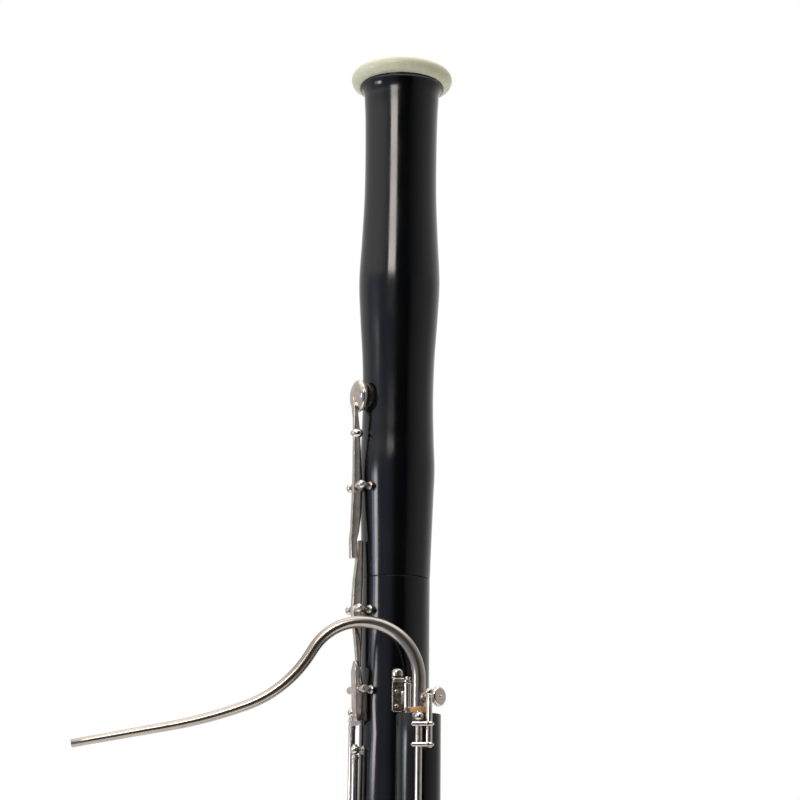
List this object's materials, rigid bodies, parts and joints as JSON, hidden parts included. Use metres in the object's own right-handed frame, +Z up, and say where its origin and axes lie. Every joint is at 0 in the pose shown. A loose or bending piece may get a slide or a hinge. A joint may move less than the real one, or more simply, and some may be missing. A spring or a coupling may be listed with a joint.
{
  "type": "bassoon",
  "caption": "Upright bassoon: black four-joint conical-bore double reed instrument with plated key work, a pale bell ring and a curved crook.",
  "frame": {"origin": "centre of the flat foot of the boot cap, on the surface that the upright instrument stands on", "axes": "+Z up along the bores to the bell; both bore axes lie in the YZ plane, the wing joint's on the -Y side; +X is the finger hole side and -X the thumb key side"},
  "size_m": [0.2325, 0.1324, 1.345],
  "materials": {
    "black_body": "glossy black ebonite with fine handling marks",
    "ivory_ring": "pale ivory coloured plastic, polished",
    "bocal_silver": "silver plated, polished",
    "key_silver": "silver plated nickel silver, polished",
    "fitting_silver": "silver plated, polished, lightly worn",
    "rod_steel": "drawn steel rod",
    "pad_leather": "tan kid leather",
    "tenon_cork": "natural cork, waxed"
  },
  "bodies": {
    "root": {"boot_body": "black_body", "u_bend_tube": "fitting_silver", "long_joint": "black_body", "wing_joint": "black_body", "bell": "black_body", "bell_ring": "ivory_ring", "strap_ring": "fitting_silver", "boot_top_ferrule": "fitting_silver", "boot_bottom_band": "fitting_silver", "boot_cap": "fitting_silver", "u_bend_gasket": "tenon_cork", "wing_tenon_cork": "tenon_cork", "long_lower_cork": "tenon_cork", "long_upper_cork": "tenon_cork", "lock_plate": "fitting_silver", "lock_keeper": "fitting_silver", "hand_rest_socket": "fitting_silver", "hinge_rods": "rod_steel", "bell_posts": "fitting_silver", "long_joint_posts": "fitting_silver", "wing_joint_posts": "fitting_silver", "boot_posts": "fitting_silver"},
    "bell_b_flat_key": {"bell_b_flat_key": "key_silver", "bell_b_flat_pad": "pad_leather"},
    "low_b_flat_lever": {"low_b_flat_lever": "key_silver"},
    "low_b_flat_link": {"low_b_flat_link": "key_silver"},
    "low_b_flat_rod": {"low_b_flat_rod": "key_silver"},
    "low_b_key": {"low_b_key": "key_silver", "low_b_pad": "pad_leather"},
    "low_c_key": {"low_c_key": "key_silver", "low_c_pad": "pad_leather"},
    "low_d_key": {"low_d_key": "key_silver", "low_d_pad": "pad_leather"},
    "low_c_sharp_key": {"low_c_sharp_key": "key_silver", "low_c_sharp_pad": "pad_leather"},
    "whisper_key": {"whisper_key": "key_silver", "whisper_pad": "pad_leather"},
    "wing_c_sharp_key": {"wing_c_sharp_key": "key_silver", "wing_c_sharp_pad": "pad_leather"},
    "low_e_key": {"low_e_key": "key_silver", "low_e_pad": "pad_leather"},
    "f_sharp_key": {"f_sharp_key": "key_silver", "f_sharp_pad": "pad_leather"},
    "g_key": {"g_key": "key_silver", "g_pad": "pad_leather"},
    "a_flat_key": {"a_flat_key": "key_silver", "a_flat_pad": "pad_leather"},
    "f_key": {"f_key": "key_silver", "f_pad": "pad_leather"},
    "bocal": {"bocal": "bocal_silver", "bocal_nib": "bocal_silver", "bocal_cork": "tenon_cork"},
    "lock_pin": {"lock_pin": "fitting_silver"},
    "hand_rest_screw": {"hand_rest_screw": "fitting_silver"}
  },
  "joints": [
    {"name": "bell_b_flat_key_hinge", "type": "hinge", "parent": "root", "child": "bell_b_flat_key", "pos_m": [-0.0297, 0.0175, 1.0469], "axis": [0, -1, 0], "range_deg": [-2.8, 0]},
    {"name": "low_b_flat_lever_hinge", "type": "hinge", "parent": "root", "child": "low_b_flat_lever", "pos_m": [-0.0294, 0.0175, 0.9657], "axis": [0, -1, 0], "range_deg": [0, 3.25]},
    {"name": "low_b_flat_link_hinge", "type": "hinge", "parent": "root", "child": "low_b_flat_link", "pos_m": [-0.02799, 0.01406, 0.9136], "axis": [0.1219, -0.9925, 0], "range_deg": [-7.2, 0]},
    {"name": "low_b_flat_rod_hinge", "type": "hinge", "parent": "root", "child": "low_b_flat_rod", "pos_m": [-0.02666, 0.02464, 0.8113], "axis": [0, 0, 1], "range_deg": [-14.5, 0], "stiffness_Nm_per_rad": 0.06},
    {"name": "low_b_key_hinge", "type": "hinge", "parent": "root", "child": "low_b_key", "pos_m": [-0.02776, 0.01701, 0.81025], "axis": [0, 0, 1], "range_deg": [0, 9], "stiffness_Nm_per_rad": 0.06},
    {"name": "low_c_key_hinge", "type": "hinge", "parent": "root", "child": "low_c_key", "pos_m": [-0.02775, 0.01377, 0.678], "axis": [0, 0, 1], "range_deg": [-9, 0], "stiffness_Nm_per_rad": 0.06},
    {"name": "low_d_key_hinge", "type": "hinge", "parent": "root", "child": "low_d_key", "pos_m": [-0.02794, 0.01383, 0.587], "axis": [0, 0, 1], "range_deg": [-9, 0], "stiffness_Nm_per_rad": 0.06},
    {"name": "low_c_sharp_key_hinge", "type": "hinge", "parent": "root", "child": "low_c_sharp_key", "pos_m": [-0.01513, 0.04127, 0.519], "axis": [0, 0, 1], "range_deg": [0, 10], "stiffness_Nm_per_rad": 0.06},
    {"name": "whisper_key_hinge", "type": "hinge", "parent": "root", "child": "whisper_key", "pos_m": [-0.00805, -0.03393, 0.76545], "axis": [0, 0, 1], "range_deg": [0, 10], "stiffness_Nm_per_rad": 0.06},
    {"name": "wing_c_sharp_key_hinge", "type": "hinge", "parent": "root", "child": "wing_c_sharp_key", "pos_m": [-0.01378, -0.03014, 0.784], "axis": [0, 0, 1], "range_deg": [0, 10], "stiffness_Nm_per_rad": 0.06},
    {"name": "low_e_key_hinge", "type": "hinge", "parent": "root", "child": "low_e_key", "pos_m": [-0.0286, 0.001, 0.294], "axis": [0, 0, 1], "range_deg": [-8, 0], "stiffness_Nm_per_rad": 0.06},
    {"name": "f_sharp_key_hinge", "type": "hinge", "parent": "root", "child": "f_sharp_key", "pos_m": [-0.0286, 0.001, 0.222], "axis": [0, 0, 1], "range_deg": [0, 10], "stiffness_Nm_per_rad": 0.06},
    {"name": "g_key_hinge", "type": "hinge", "parent": "root", "child": "g_key", "pos_m": [0.0286, -0.003, 0.217], "axis": [0, 0, 1], "range_deg": [-8, 0], "stiffness_Nm_per_rad": 0.06},
    {"name": "a_flat_key_hinge", "type": "hinge", "parent": "root", "child": "a_flat_key", "pos_m": [0.0286, -0.003, 0.153], "axis": [0, 0, 1], "range_deg": [0, 10], "stiffness_Nm_per_rad": 0.06},
    {"name": "f_key_hinge", "type": "hinge", "parent": "root", "child": "f_key", "pos_m": [0.0255, 0.035, 0.14], "axis": [0, 0, 1], "range_deg": [-8, 0], "stiffness_Nm_per_rad": 0.06},
    {"name": "bocal_swivel", "type": "hinge", "parent": "root", "child": "bocal", "pos_m": [0, -0.0175, 0.88], "axis": [0, 0, 1], "range_deg": [-12, 12]},
    {"name": "lock_pin_slide", "type": "slide", "parent": "root", "child": "lock_pin", "axis": [0, 0, 1], "range_m": [0, 0.009]},
    {"name": "hand_rest_screw_turn", "type": "hinge", "parent": "root", "child": "hand_rest_screw", "pos_m": [0, -0.0465, 0.334], "axis": [1, 0, 0], "range_deg": [-360, 360]}
  ],
  "couplings": [
    {"joint": "low_b_flat_link_hinge", "follows": "low_b_flat_rod_hinge", "ratio": 0.48276},
    {"joint": "low_b_flat_lever_hinge", "follows": "low_b_flat_rod_hinge", "ratio": -0.22069},
    {"joint": "bell_b_flat_key_hinge", "follows": "low_b_flat_rod_hinge", "ratio": 0.18966}
  ]
}
